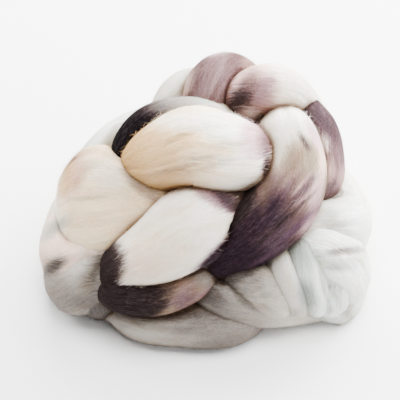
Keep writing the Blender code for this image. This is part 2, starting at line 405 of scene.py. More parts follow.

# Patches of dye, and of painted shade where marked, placed as the viewer sees them: middle
# across and up the slanting plane, half sizes, the turn of the long way in degrees, colour,
# strength and how ragged the edge is.
PATCHES = {
    "crown_loop": [
        Patch(-1, 48, 32, 8, 0, WHITE, 0.95),
        Patch(14, 40, 16, 7, -15, COOL, 0.7),
        # Painted shade along the crown's wrinkles: this thin line and the next.
        Patch(-14, 19, 18, 1.6, 14, TAN, 0.35),
        Patch(0, 25, 15, 1.5, 10, OLIVE, 0.35),
        Patch(-10, 38, 9, 2.5, 8, PEACH, 0.5),
        # Painted shade along a wrinkle of the crown.
        Patch(20, 33, 12, 2, 0, OLIVE, 0.35),
        Patch(21, 20, 12, 6, -25, WHITE, 0.7),
        Patch(-38, 24, 8, 6, 60, PEACH, 0.4),
        Patch(34, 37, 13, 9, 85, PINK, 0.95, 1.2),
        Patch(38, 36, 11, 4, 84, ROSE, 0.8),
        Patch(40, 34, 9, 3, 92, MAUVE, 0.9),
        # Painted shadow: a dark plum line under the crown's pink end.
        Patch(40, 20, 9, 3, 86, PLUM, 1.0),
    ],
    "front_loop": [
        Patch(10, 0, 18, 4.5, -32, ROSE, 0.8),
        Patch(19, -2, 17, 5, -42, PLUM, 1.0),
        # The two umber patches are painted shadow in the dark hole beside the loop's start.
        Patch(24, -4, 9, 4, -60, UMBER, 0.6),
        Patch(26, 5, 12, 4, -20, UMBER, 2.0, 0.5),
        Patch(-64, -43, 20, 14, 72, SOOT, 3.0),
        # Partly purple dye, partly painted shadow in the dark gap at the middle front.
        Patch(13, -41, 26, 9, 46, PURPLE, 3.0, 0.4),
        Patch(4, -41, 12, 3, 45, SAGE, 0.4),
        Patch(-32, -36, 9, 14, 30, BLUSH, 0.3),
        Patch(-26, -32, 24, 18, 35, CREAM, 0.45),
        Patch(-14, -6, 10, 8, 30, BLUSH, 0.15),
    ],
    "front_return": [
        Patch(-9, -54, 10, 4, 42, ROSE, 0.5),
        Patch(-13, -61, 11, 3, 40, PINK, 0.25),
        Patch(-19, -67, 13, 2.5, 22, HONEY, 0.45, 0.7),
        Patch(-6, -59, 10, 6, 45, TAN, 0.9),
        Patch(-9, -60, 9, 5, 42, MAUVE, 0.95),
        Patch(3, -57, 6, 4, 50, ROSE, 0.9),
        # Painted shadow in the dark gap at the middle front.
        Patch(12, -47, 4, 4, 0, UMBER, 1.5, 0.5),
    ],
    "right_loop": [
        Patch(45, 28, 13, 6, 84, WHITE, 0.8),
        Patch(52, 40, 9, 5, 60, GREY, 0.5),
        Patch(41, 8, 13, 6, 45, ROSE, 0.5),
        Patch(38, -9, 18, 8, 48, PURPLE, 0.95),
        Patch(54, 9, 9, 3, 55, VIOLET, 0.4),
        Patch(61, 3, 10, 5, 60, PINK, 0.9),
        Patch(71, 9, 11, 3.5, 80, WHITE, 0.9),
        Patch(57, 24, 10, 5, 75, TAN, 0.9),
        Patch(41, 8, 9, 5, 60, RUSSET, 0.55),
        Patch(40, 14, 22, 3.5, 84, BROWN, 0.7),
        Patch(70, 37, 14, 3, -62, PINK, 0.9),
        Patch(73.5, 22, 11, 3.2, 88, BLUSH, 0.9),
        Patch(70, 4, 13, 3.5, 76, PINK, 0.9),
        Patch(66, -12, 12, 4, 60, PINK, 0.9),
        Patch(63, 35, 6.5, 1.8, -58, PLUM, 0.9),
        Patch(33, 0, 11, 4, 50, BROWN, 0.6),
        Patch(27, -2, 14, 4.5, 65, SOOT, 2.0),
        Patch(58, 2, 15, 2.6, 48, PLUM, 0.75),
        Patch(54, 13, 8, 2.5, 50, PINK, 0.3),
        Patch(54, 8, 8, 3, 50, MAUVE, 0.45),
        Patch(48, -12, 8, 4, 45, PURPLE, 0.5),
        Patch(50, 8, 18, 1.2, 50, TAN, 0.25),
        Patch(60, 8, 12, 1.2, 52, PINK, 0.5),
        Patch(56, -18, 20, 2.2, 42, VIOLET, 0.9),
        Patch(48, -14, 22, 1.2, 42, SOOT, 0.8),
        Patch(40, -34, 16, 1.6, 33, VIOLET, 0.8),
        Patch(44, -22, 20, 1.0, 40, VIOLET, 0.6),
        Patch(36, -14, 16, 1.0, 42, VIOLET, 0.5),
    ],
    "right_return": [
        Patch(74, 34, 6, 3.5, -75, WHITE, 0.85),
        Patch(80, 56, 8, 5, -40, PINK, 0.6, 1.2),
        Patch(77, 14, 12, 4, 84, BLUSH, 0.6),
        Patch(80, 40, 8, 3, -65, PLUM, 0.6),
        Patch(86, 14, 9, 3, 80, BLUSH, 0.5),
        Patch(82, 26, 10, 3, -80, ROSE, 0.4),
        Patch(77, 6, 7, 3, 60, PLUM, 0.4),
    ],
    "head_loop": [
        Patch(33, 63, 14, 11, 60, ROSE, 0.9, 0.5),
        Patch(28, 65, 13, 6, 72, RUSSET, 0.6, 0.4),
        Patch(23, 59, 9, 6.5, 60, SOOT, 0.85, 0.7),
        Patch(40, 71, 6, 3, 35, ROSE, 0.5, 0.6),
        Patch(34, 50, 12, 4, -20, WHITE, 0.8, 0.4),
        # Painted shade: a thin dark line along the crease beside the head's return.
        Patch(16, 71, 14, 1.6, 56, UMBER, 0.8),
    ],
    "head_return": [
        Patch(-1, 74, 13, 5.5, 62, RUSSET, 0.7, 0.6),
        Patch(3, 70, 15, 3, 66, ROSE, 0.6),
        Patch(18, 84, 12, 7, 50, MAUVE, 1.5, 0.6),
        Patch(3, 74, 10, 5, 66, MAUVE, 0.5),
        Patch(29, 84, 5, 4, 20, TAN, 0.6),
        Patch(11, 75, 14, 2.2, 66, WHITE, 0.25, 0.6),
        Patch(15, 71, 14, 1.4, 62, ROSE, 0.6),
        Patch(10, 89, 12, 2.6, 8, GREY, 0.6, 0.5),
        Patch(-9, 68, 15, 3.5, 70, BLUSH, 0.7),
        Patch(21, 85, 7, 5, 30, RUSSET, 0.5, 0.6),
    ],
    "dark_bend": [Patch(-42, 39, 14, 9, 52, INK, 1.2)],
    "heart": [
        # The two umber patches are painted shadow in the dark holes where the heart shows between
        # the legs.
        Patch(24, -14, 22, 8, 68, UMBER, 3.0),
        Patch(12, -46, 10, 8, 0, UMBER, 3.0),
        Patch(-22, 3, 10, 6, 0, PEACH, 0.9),
    ],
    "back_rise": [Patch(-15, 63, 6, 5, 30, PINK, 0.5)],
    "left_shoulder": [Patch(-54, 34, 14, 4, 60, OLIVE, 0.6)],
    "left_spread": [
        Patch(-76, 16, 17, 7, 76, APRICOT, 1.0, 0.7),
        Patch(-80, 13, 12, 4, 78, PEACH, 0.5),
        Patch(-55, 16, 14, 10, -30, GREY, 0.5),
        Patch(-66, 4, 12, 2, 10, BLUSH, 0.5),
        Patch(-66, 1, 14, 1.6, 2, OLIVE, 0.3),
        # The two tan patches are painted shade beside the crown and beside the front loop.
        Patch(-35, 8, 16, 4.5, -42, TAN, 0.6),
        Patch(-37, -20, 14, 4, 62, TAN, 0.3, 0.5),
        # Partly grey streaks in the wool, partly painted shade in the shallow valley.
        Patch(-86, -16, 11, 4, 40, SAGE, 0.5),
    ],
    "left_lower": [
        # The sage marks are partly grey streaks in the wool, partly painted shade in the shallow
        # valley.
        Patch(-86, -16, 12, 4, 40, SAGE, 0.6),
        Patch(-62, -18, 16, 3, 0, SAGE, 0.4),
        # Painted shade beside the front loop.
        Patch(-38, -22, 14, 4.5, 62, TAN, 0.4, 0.5),
        Patch(-88, -40, 11, 7, 25, STONE, 0.5, 0.3),
        Patch(-88, -40, 7, 3.6, 35, ASH, 0.85, 0.6),
        Patch(-68, -38, 6, 10, 20, STONE, 0.5),
    ],
    "left_tuck": [
        Patch(-88, -40, 11, 7, 25, STONE, 0.5, 0.3),
        Patch(-88, -40, 7, 3.6, 35, ASH, 0.85, 0.6),
        # Painted shade down the soft grey valley beside the dark elbow.
        Patch(-63, -45, 18, 6, 75, STONE, 0.8, 0.25),
        Patch(-61, -46, 19, 4.5, 78, ASH, 0.55, 0.5),
        Patch(-75, -38, 7, 6, 0, GREY, 0.6, 0.3),
        # Partly grey-brown wool, partly painted shade low on the tuck.
        Patch(-64, -63, 17, 5, -12, ASH, 0.5, 0.5),
        Patch(-85, -53, 12, 6, -30, DUST, 0.6),
    ],
    "front_turn": [
        # These grey and ash marks are partly greyish-brown wool, partly painted shade on the low
        # front.
        Patch(-20, -69, 30, 4, 0, ASH, 0.8),
        Patch(-10, -84, 14, 3, 0, STONE, 0.7),
        Patch(8, -68, 14, 6, 0, ASH, 0.6),
        Patch(-30, -79, 14, 4, 0, GREY, 0.5),
    ],
    "right_turn": [
        # The sage, grey and stone patches are partly grey-green wool, partly painted shade in the
        # folds; the pink is dye.
        Patch(78, -13, 11, 5, 80, SAGE, 0.5),
        Patch(67, -8, 10, 3, 60, PINK, 0.4),
        Patch(84, 0, 9, 5, 0, GREY, 0.7),
        Patch(84, -17, 8, 3, -20, STONE, 0.4),
    ],
    "right_ridge": [
        # Sage: partly grey-green wool, partly painted shade in the valley beside the pleat.
        Patch(68, -32, 16, 4, -60, SAGE, 0.25),
        Patch(64, -58, 12, 5, -78, SAGE, 0.95),
    ],
    "right_pleat": [
        Patch(55, -42, 14, 3, -70, COOL, 0.7),
        # Sage and stone: partly grey-green wool, partly painted shade in the fold and at the
        # bottom.
        Patch(63, -57, 12, 3.5, -78, SAGE, 0.8),
        Patch(50, -68, 16, 3, 0, STONE, 0.8),
    ],
    "right_knob": [
        Patch(74, -53, 10, 3.5, -75, COOL, 0.9),
        # Partly grey-green wool, partly painted shade low in the fold.
        Patch(70, -66, 8, 3, 0, SAGE, 0.6),
    ],
    "right_drop": [
        # The thin dust-grey line is painted shade along a crease; the sage, stone and grey marks
        # below are partly grey-green wool, partly painted shade in the folds.
        Patch(86, -31, 14, 2.4, 6, DUST, 0.75),
        Patch(85, -38, 11, 4, 0, SAGE, 0.4),
        Patch(83, -57, 10, 2, -40, SAGE, 0.6),
        Patch(88, -66, 6, 3, -60, STONE, 0.6),
        Patch(96, -34, 8, 3, 20, GREY, 0.5),
    ],
    "right_fold": [
        # Painted shadow in the dark gap at the middle front.
        Patch(15, -43, 9, 6, 0, UMBER, 2.0, 0.5),
        Patch(24, -44, 15, 4, 25, ASH, 0.95),
        Patch(47, -33, 8, 3, 40, ASH, 0.7),
        # Painted shade along a crease.
        Patch(17, -52, 12, 3, -60, ASH, 0.6),
    ],
    "right_rim": [
        Patch(6, -56, 12, 6, -45, ASH, 0.9),
        # Painted shadow in the dark gap at the middle front.
        Patch(13, -46, 7, 5, 0, UMBER, 2.0, 0.5),
        Patch(28, -70, 16, 3, -25, DUST, 0.3),
    ],
}

# How far a dye's edge wanders from fibre to fibre, in millimetres. Round a patch it wanders this
# many times as far, and at most so many half sizes of the patch.
FEATHER = 5.0
RAGGED, MOST_RAGGED = 1.6, 1.8

# Where a patch of dye begins and where it is full, in its own half sizes.
PATCH_EDGE, PATCH_FULL = 1.45, 0.35

Crease = namedtuple("Crease", "depth width route")
DEEP_CREASE = 3.0
CREASE_ENDS = (0.02, 0.98)
CREASE_FADE = 0.6

# Shallow furrows where the wool folds, routed across and up as the viewer sees them, in mm.
# Their depth also sets the painted shade in them.
CREASES = (
    Crease(0.7, 4.5, ((-77, 2), (-68, 0), (-52, 1.5), (-28, 1))),
    Crease(1.6, 3.0, ((-62, 24), (-70, 16), (-76, 2))),
    Crease(3.0, 4.0, ((-96, -41), (-88, -40), (-78, -36))),
    Crease(3.0, 5.0, ((-58, -28), (-63, -38), (-68, -50), (-71, -61))),
    Crease(1.2, 2.5, ((-94, -20), (-84, -14), (-70, -17))),
    Crease(2.6, 2.0, ((21, -12), (19, -18), (15, -26), (8, -34), (-2, -41), (-10, -46))),
    Crease(1.6, 2.0, ((57, 45), (61, 37), (64, 30), (66, 18))),
    Crease(1.3, 2.2, ((61, 26), (54, 16), (44, 6), (34, -4))),
    Crease(1.0, 2.0, ((64, -16), (52, -26), (38, -34), (22, -40))),
    Crease(1.8, 2.0, ((66, -27), (72, -38), (74, -52), (78, -66))),
    Crease(1.8, 2.0, ((74, -46), (80, -56), (88, -71))),
    Crease(1.5, 1.8, ((77, -49), (83, -53), (90, -59))),
    Crease(1.5, 2.0, ((74, -33), (84, -31), (98, -28))),
    Crease(1.3, 1.8, ((70, -41), (80, -41), (92, -43))),
    Crease(1.2, 2.0, ((76, -20), (86, -15), (98, -14))),
    Crease(1.8, 2.4, ((18, -48), (24, -60), (34, -68))),
    Crease(1.4, 2.4, ((30, -42), (36, -54), (40, -66))),
    Crease(1.5, 3.0, ((-34, -74), (-16, -78), (6, -76))),
    Crease(1.0, 2.2, ((-18, 14), (2, 18), (22, 26))),
    Crease(0.9, 2.0, ((-26, 30), (-4, 42), (16, 44))),
    Crease(1.0, 2.5, ((-8, 84), (-4, 72), (0, 60))),
)


# Relief along a leg: its height in mm, the size of its noise across the fibres and along them,
# and the number that sets the noise apart.
Grain = namedtuple("Grain", "height across along seed")
LUMPS = Grain(0.80, 15, 24, 500)
LOCKS = Grain(0.55, 10, 60, 100)
PARTINGS = Grain(-0.28, 8, 60, 200)
STRANDS = Grain(0.13, 3.0, 26, 300)
FIBRE_ENDS = Grain(0.06, 1.4, 16, 400)
PARTING_WIDTH = 0.13
FULL_RELIEF_RADIUS = 18
RELIEF_NEAR_END = 1.5

# How the fibres stray round a leg: by how many radians, at what scales and with what number.
STRAYS = ((0.3, (1.3, 1.3, 1.3), 0), (0.07, (4, 4, 3), 50))
STRAY_LENGTH = 45
SAMPLES_PER_ROW = 60


def density(colour):
    """A dye's density in red, green and blue, as a colour from 0 to 1."""
    return (*(-math.log(part) / DENSEST for part in colour[:3]), 1)


def noise(points, seed):
    """Smooth noise from -1 to 1 at points (n, 3), which are given in cells."""
    cell = np.floor(points).astype(np.int64)
    part = points - cell
    part = part * part * (3 - 2 * part)
    total = np.zeros(len(points))
    for corner in np.ndindex(2, 2, 2):
        x, y, z = (cell + corner).T
        mixed = (x * 73856093) ^ (y * 19349663) ^ (z * 83492791) ^ (seed * 26544357)
        mixed = ((mixed ^ (mixed >> 13)) * 12741261) & 0xFFFFFFFF
        mixed = ((mixed ^ (mixed >> 15)) * 22695477) & 0xFFFFFFFF
        value = ((mixed >> 8) & 0xFFFF) / 32767.5 - 1
        total += value * np.prod(np.where(corner, part, 1 - part), axis=1)
    return total


def spline(values, at):
    """Catmull-Rom curve through evenly numbered values, read at fractional numbers."""
    values = np.asarray(values, float)
    first, last = 2 * values[0] - values[1], 2 * values[-1] - values[-2]
    padded = np.vstack([first, values, last])
    index = np.clip(np.floor(at).astype(int), 0, len(values) - 2)
    t = (at - index)[:, None]
    before, start, end, after = (padded[index + k] for k in range(4))
    return 0.5 * (
        2 * start
        + (end - before) * t
        + (2 * before - 5 * start + 4 * end - after) * t**2
        + (3 * start - before - 3 * end + after) * t**3
    )


def unit(vectors):
    return vectors / np.linalg.norm(vectors, axis=-1, keepdims=True)


def as_seen(points):
    """Points' places across and up the slanting plane as the viewer sees them, and out of it."""
    offset = points - MIDDLE
    near = offset @ NEAR
    nearer = 1 / (1 - near / VIEW_DISTANCE)
    return np.stack([offset[:, 0] * nearer, (offset @ UP) * nearer, near], axis=1)


def creases(points, normal):
    """How deep the creases are at points whose surface faces along normal."""
    place = as_seen(points)[:, :2]
    deepest = np.zeros(len(points))
    for crease in CREASES:
        route = np.array(crease.route, float)
        steps = len(route) - 1
        for k in range(steps):
            start, run = route[k], route[k + 1] - route[k]
            share = np.clip((place - start) @ run / (run @ run), 0, 1)
            far = np.linalg.norm(place - start - share[:, None] * run, axis=1)
            fade = np.sin(math.pi * np.clip((k + share) / steps, *CREASE_ENDS)) ** CREASE_FADE
            depth = crease.depth * fade * np.exp(-((far / crease.width) ** 2))
            deepest = np.maximum(deepest, depth)
    return deepest * np.clip(normal @ NEAR, 0, 1)


def heart_rows():
    """Rows that fill the bundle's heart as one short, fat leg laid from left to right."""
    shares = np.linspace(-HEART_SPAN, HEART_SPAN, HEART_ROWS)
    half = [HEART_HALF_SIZE * math.sqrt(1 - share**2) for share in shares]
    return [
        level(HEART[0] + HEART_HALF_SIZE[0] * share, *HEART[1:], 2 * size[1], 2 * size[2])
        for share, size in zip(shares, half)
    ]


class Leg:
    """One leg's route and section, read at any distance along it and any turn round it."""

    def __init__(self, name, rows, number, heart=HEART):
        self.name, self.number = name, number
        fine = spline(rows, np.linspace(0, len(rows) - 1, SAMPLES_PER_ROW * len(rows)))
        steps = np.linalg.norm(np.diff(fine[:, :3], axis=0), axis=1)
        along = np.concatenate([[0], np.cumsum(steps)])
        self.length = along[-1]
        self.at = np.linspace(0, self.length, max(4, round(self.length) + 1))
        read = np.stack([np.interp(self.at, along, column) for column in fine.T], axis=1)
        self.centre, self.wide, self.thick = read[:, :3], read[:, 3], read[:, 4]
        self.way = unit(np.gradient(self.centre, axis=0))
        out = self.centre - heart
        out -= np.sum(out * self.way, axis=1, keepdims=True) * self.way
        self.out = unit(out)
        self.side = np.cross(self.way, self.out)
        self.radius = (self.wide.max() + self.thick.max()) / 4
        self.reach = (
            0.5 * min(self.wide[0], self.thick[0]),
            0.5 * min(self.wide[-1], self.thick[-1]),
        )
        self.relief = min(1.0, self.radius / FULL_RELIEF_RADIUS)

    def read(self, column, s):
        if column.ndim == 1:
            return np.interp(s, self.at, column)
        return np.stack([np.interp(s, self.at, part) for part in column.T], axis=1)

    def lanes(self, s, turn):
        """Where a point lies among the fibres, in mm: two ways across them, and along them."""
        ring = np.stack([np.cos(turn), np.sin(turn), s / STRAY_LENGTH], axis=1)
        for angle, scale, seed in STRAYS:
            turn = turn + angle * noise(ring * scale, self.number + seed)
        return np.stack([np.cos(turn) * self.radius, np.sin(turn) * self.radius, s], axis=1)

    def grain(self, lanes, kind):
        """Noise from -1 to 1 at these lanes, at the size of one kind of relief."""
        sizes = (kind.across, kind.across, kind.along)
        return noise(lanes / sizes, self.number + kind.seed)

    def furrows(self, lanes):
        """How far the wool stands out at these lanes: lumps, locks, partings and strands."""
        parted = np.exp(-((self.grain(lanes, PARTINGS) / PARTING_WIDTH) ** 2))
        return self.relief * (
            LUMPS.height * self.grain(lanes, LUMPS)
            + LOCKS.height * self.grain(lanes, LOCKS)
            + PARTINGS.height * parted
            + STRANDS.height * self.grain(lanes, STRANDS)
            + FIBRE_ENDS.height * self.grain(lanes, FIBRE_ENDS)
        )

    def surface(self, s, turn):
        """Points, outward directions and lanes at distances s and turns round the leg."""
        inside = np.clip(s, 0, self.length)
        past = s - inside
        share = np.where(past < 0, past / self.reach[0], past / self.reach[1])
        shrink = np.sqrt(np.clip(1 - share**2, LEAST_SECTION, 1))
        way, side, out = (self.read(part, inside) for part in (self.way, self.side, self.out))
        wide, thick = self.read(self.wide, inside), self.read(self.thick, inside)
        cos, sin = np.cos(turn)[:, None], np.sin(turn)[:, None]
        wide, thick = (wide * shrink / 2)[:, None], (thick * shrink / 2)[:, None]
        normal = unit(side * cos * thick + out * sin * wide)
        normal = unit(normal * shrink[:, None] + way * share[:, None])
        lanes = self.lanes(s, turn)
        points = self.read(self.centre, inside) + way * past[:, None]
        points = points + side * cos * wide + out * sin * thick
        relief = self.furrows(lanes) * np.minimum(1, shrink * RELIEF_NEAR_END)
        relief -= creases(points, normal)
        return points + normal * relief[:, None], normal, lanes

    def facing(self, s, turn):
        """The part of a bake map that a point takes: along the leg, and round it."""
        total = self.length + sum(self.reach)
        return np.stack([(s + self.reach[0]) / total, turn / (2 * math.pi)], axis=-1)


def on_floor(points):
    """Points in the model's frame, in metres, with what would sink into the floor pressed flat."""
    moved = (points - ORIGIN) * MM
    moved[:, 2] = np.maximum(moved[:, 2], ABOVE_FLOOR)
    return moved


def buried(points, solid, depth):
    """Which points lie deeper than depth inside the bundle's solid."""
    found = np.zeros(len(points), bool)
    for k, point in enumerate(points):
        place, normal, _, _ = solid.find_nearest(Vector(point))
        found[k] = (Vector(point) - place).dot(normal) < -depth * MM
    return found


def openness(points, normals, solid):
    """How open the wool is at points, from 0 in a crevice to 1, over a short and a long reach."""
    found = np.zeros((len(points), 3))
    for column, reach in enumerate(OPEN_REACHES):
        ahead = points + normals * reach * MM
        for k, point in enumerate(ahead):
            place, normal, _, far = solid.find_nearest(Vector(point))
            if (Vector(point) - place).dot(normal) < 0:
                far = 0
            # The floor closes the wool as well, so the painted shade darkens what lies near it.
            found[k, column] = min(far, max(point[2], 0)) / (reach * MM)
    # How deep the creases are, for the painted shade in them.
    found[:, 2] = creases(points / MM + ORIGIN, normals) / DEEP_CREASE
    return np.clip(found, 0, 1)


def add_piece(name, points, faces, lanes, flat_points, open_points, faces_uv, material):
    """A mesh object with its lanes, its place as seen, its openness and its bake map."""
    mesh = bpy.data.meshes.new(name)
    mesh.from_pydata(points.tolist(), [], faces.tolist())
    lie = mesh.attributes.new("lie", "FLOAT_VECTOR", "POINT")
    lie.data.foreach_set("vector", lanes.astype(np.float32).ravel())
    place = mesh.attributes.new("place", "FLOAT_VECTOR", "POINT")
    place.data.foreach_set("vector", flat_points.astype(np.float32).ravel())
    open_at = mesh.attributes.new("open", "FLOAT_VECTOR", "POINT")
    open_at.data.foreach_set("vector", open_points.astype(np.float32).ravel())
    layer = mesh.uv_layers.new(name="OFBake")
    layer.uv.foreach_set("vector", faces_uv.astype(np.float32).ravel())
    mesh.materials.append(material)
    mesh.shade_smooth()
    thing = bpy.data.objects.new(name, mesh)
    bpy.context.scene.collection.objects.link(thing)
    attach(thing, "root")
    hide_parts(NODE)
    return thing


def leg_body(leg, solid, material):
    """The leg's own mesh, without the faces that lie deep in the bundle."""
    round_count = int(np.clip(round(2 * math.pi * leg.radius / ROUND_STEP), *SIDES))
    body = np.linspace(0, leg.length, max(8, round(leg.length / LONG_STEP)) + 1)
    cap = np.sin(np.linspace(0.5 * math.pi, 0, CAP_RINGS)[:-1])
    s = np.concatenate([-cap * leg.reach[0], body, leg.length + cap[::-1] * leg.reach[1]])
    # The seam of the bake map lies on the side that faces the heart.
    turn = np.linspace(-0.5 * math.pi, 1.5 * math.pi, round_count + 1)[:-1]
    grid_s, grid_turn = (part.ravel() for part in np.meshgrid(s, turn, indexing="ij"))
    points, normals, lanes = leg.surface(grid_s, grid_turn)
    placed = on_floor(points)
    hidden = buried(placed, solid, BURIED)
    row = np.arange(len(s) - 1)[:, None] * round_count
    k = np.arange(round_count)[None, :]
    after = (k + 1) % round_count
    corners = np.stack(
        [row + k, row + after, row + round_count + after, row + round_count + k], axis=-1
    ).reshape(-1, 4)
    low_s, low_turn = (part.ravel() for part in np.meshgrid(s[:-1], turn, indexing="ij"))
    high_s = np.repeat(s[1:], round_count)
    step = 2 * math.pi / round_count
    uv = np.stack(
        [
            leg.facing(low_s, low_turn + 0.5 * math.pi),
            leg.facing(low_s, low_turn + 0.5 * math.pi + step),
            leg.facing(high_s, low_turn + 0.5 * math.pi + step),
            leg.facing(high_s, low_turn + 0.5 * math.pi),
        ],
        axis=1,
    )
    shown = ~hidden[corners].all(axis=1)
    corners, uv = corners[shown], uv[shown]
    used, corners = np.unique(corners, return_inverse=True)
    corners = corners.reshape(-1, 4)
    open_points = openness(placed[used], normals[used], solid)
    return add_piece(
        leg.name,
        placed[used],
        corners,
        lanes[used],
        as_seen(points)[used],
        open_points,
        uv,
        material,
    )


Fibres = namedtuple("Fibres", "per_mm2 length width lift stray joints")

# Fibres that lie on the wool, and loose ones that stand off it.
LYING = Fibres(per_mm2=0.26, length=(8, 20), width=0.16, lift=0.6, stray=0.30, joints=5)
LOOSE = Fibres(per_mm2=0.36, length=(4, 12), width=0.10, lift=2.7, stray=0.65, joints=5)

# How far past a leg's ends a fibre may root and reach, in shares of the leg's rounded ends.
ROOT_PAST, REACH_PAST = 0.6, 0.8

# A fibre's curl as a multiple of its stray, the least share of its lift, how far it clears the
# wool in millimetres, and how blunt its tips are.
CURL = 1.2
LEAST_LIFT = 0.15
CLEARANCE = 0.05
BLUNT = 0.12

# How wide a fibre is in the bake map.
BAKE_WIDTH = 0.004

# How far a fibre's dye may have come from where the fibre now lies, in millimetres.
CARRIED = 2.8


def strewn(leg, solid, kind, random):
    """One kind of fibre strewn over a leg: points, faces, lanes, places, openness and bake map."""
    count = round(2 * math.pi * leg.radius * leg.length * kind.per_mm2)
    start, end = leg.reach
    s0 = random.uniform(-ROOT_PAST * start, leg.length + ROOT_PAST * end, count)
    turn0 = random.uniform(0, 2 * math.pi, count)
    root, _, _ = leg.surface(s0, turn0)
    keep = ~buried(on_floor(root), solid, BURIED_ROOT)
    s0, turn0 = s0[keep], turn0[keep]
    count, joints = len(s0), kind.joints
    length = random.uniform(*kind.length, count) * leg.relief**0.5
    lean = random.normal(0, kind.stray, count)
    curl = random.normal(0, kind.stray * CURL, count)
    rise = kind.lift * random.uniform(LEAST_LIFT, 1, count) ** 2
    both = random.random(count) < 0.5
    rows = []
    for u in np.linspace(0, 1, joints):
        bend = u - 0.5
        s = np.clip(s0 + bend * length, -REACH_PAST * start, leg.length + REACH_PAST * end)
        turn = turn0 + (lean * bend + curl * bend * bend) * length / leg.radius
        point, normal, lanes = leg.surface(s, turn)
        height = rise * np.where(both, u, 1 - u) ** 2 + CLEARANCE
        rows.append((point + normal * height[:, None], normal, lanes, s))
    points, normals, lanes, s = (np.stack(part, axis=1) for part in zip(*rows))
    side = unit(np.cross(unit(np.gradient(points, axis=1) + 1e-9), normals))
    taper = np.sin(np.linspace(BLUNT, math.pi - BLUNT, joints)) ** 0.5
    half = side * (kind.width / 2 * taper)[None, :, None]
    ribbon = np.stack([points - half, points + half], axis=1).reshape(-1, 3)

    lanes = lanes + random.normal(0, CARRIED, (count, 1, 3))
    places = as_seen(points.reshape(-1, 3)).reshape(count, joints, 3)
    places = places + random.normal(0, CARRIED / 2, (count, 1, 3))
    middle = joints // 2
    read = [openness(on_floor(points[:, k]), normals[:, k], solid) for k in (0, middle, -1)]
    at = np.linspace(0, 2, joints)[None, :, None]
    first, second, third = (part[:, None] for part in read)
    before, after = first + (second - first) * at, second + (third - second) * (at - 1)
    open_points = np.where(at < 1, before, after)
    index = np.arange(count * 2 * joints).reshape(count, 2, joints)
    left, right = index[:, 0], index[:, 1]
    faces = np.stack([left[:, :-1], right[:, :-1], right[:, 1:], left[:, 1:]], axis=-1)

    u = np.clip((s + leg.reach[0]) / (leg.length + sum(leg.reach)), 0.001, 0.999)
    v = np.clip(((turn0 + 0.5 * math.pi) / (2 * math.pi)) % 1, 0.01, 0.985)
    v = np.repeat(v[:, None], joints - 1, axis=1)
    low, high = u[:, :-1], u[:, 1:]
    v_past = v + BAKE_WIDTH
    uv = np.stack([low, v, low, v_past, high, v_past, high, v], axis=-1)
    both_sides = (
        np.stack([part, part], axis=1).reshape(-1, 3) for part in (lanes, places, open_points)
    )
    return (ribbon, faces.reshape(-1, 4), *both_sides, uv.reshape(-1, 2))


def leg_fibres(leg, solid, material, kinds, random):
    """The fibres of one leg as thin ribbons, joined in one mesh."""
    parts = [strewn(leg, solid, kind, random) for kind in kinds]
    starts = np.cumsum([0] + [len(part[0]) for part in parts])
    points, _, lanes, places, open_points, uv = (np.concatenate(part) for part in zip(*parts))
    faces = np.concatenate([part[1] + start for part, start in zip(parts, starts)])
    return add_piece(
        leg.name + "_fibres", on_floor(points), faces, lanes, places, open_points, uv, material
    )


class Nodes:
    """A short way to build a material's nodes."""

    def __init__(self, name):
        self.material = bpy.data.materials.new(name)
        self.material.use_nodes = True
        self.tree = self.material.node_tree
        self.shader = self.tree.nodes["Principled BSDF"]

    def add(self, kind, inputs=(), **settings):
        node = self.tree.nodes.new(kind)
        for key, value in settings.items():
            setattr(node, key, value)
        for key, value in dict(inputs).items():
            self.put(node.inputs[key], value)
        return node

    def put(self, socket, value):
        if isinstance(value, bpy.types.NodeSocket):
            self.tree.links.new(value, socket)
        else:
            socket.default_value = value

    def math(self, operation, a, b=0.0, c=0.0):
        node = self.add("ShaderNodeMath", {0: a, 1: b, 2: c}, operation=operation)
        return node.outputs[0]

    def lane_noise(self, lie, kind):
        """Noise drawn out along the fibres, from 0 to 1."""
        scale = (1 / kind.across, 1 / kind.across, 1 / kind.along)
        sized = self.vector("MULTIPLY", lie, scale)
        texture = self.add(
            "ShaderNodeTexNoise", {"Vector": sized, "Scale": 1.0, "Detail": kind.detail}
        )
        return texture.outputs["Fac"]

    def vector(self, operation, a, b, c=(0, 0, 0)):
        node = self.add("ShaderNodeVectorMath", {0: a, 1: b, 2: c}, operation=operation)
        return node.outputs[0]

    def scaled(self, colour, factor):
        node = self.add("ShaderNodeVectorMath", {0: colour, "Scale": factor}, operation="SCALE")
        return node.outputs[0]

    def spread(self, value, width, middle=1.0):
        """Noise from 0 to 1, drawn out to this width about a middle."""
        return self.math("MULTIPLY_ADD", value, width, middle - width / 2)

    def soft_step(self, value, start, end, most=1.0):
        """0 at the start, rising smoothly to most at the end."""
        settings = {"Value": value, "From Min": start, "From Max": end, "To Max": most}
        node = self.add("ShaderNodeMapRange", settings, interpolation_type="SMOOTHSTEP")
        return node.outputs[0]

    def mix(self, factor, a, b, blend="MIX"):
        node = self.add("ShaderNodeMix", data_type="RGBA", blend_type=blend)
        for name, value in (("Factor_Float", factor), ("A_Color", a), ("B_Color", b)):
            self.put(next(s for s in node.inputs if s.identifier == name), value)
        return next(s for s in node.outputs if s.identifier == "Result_Color")


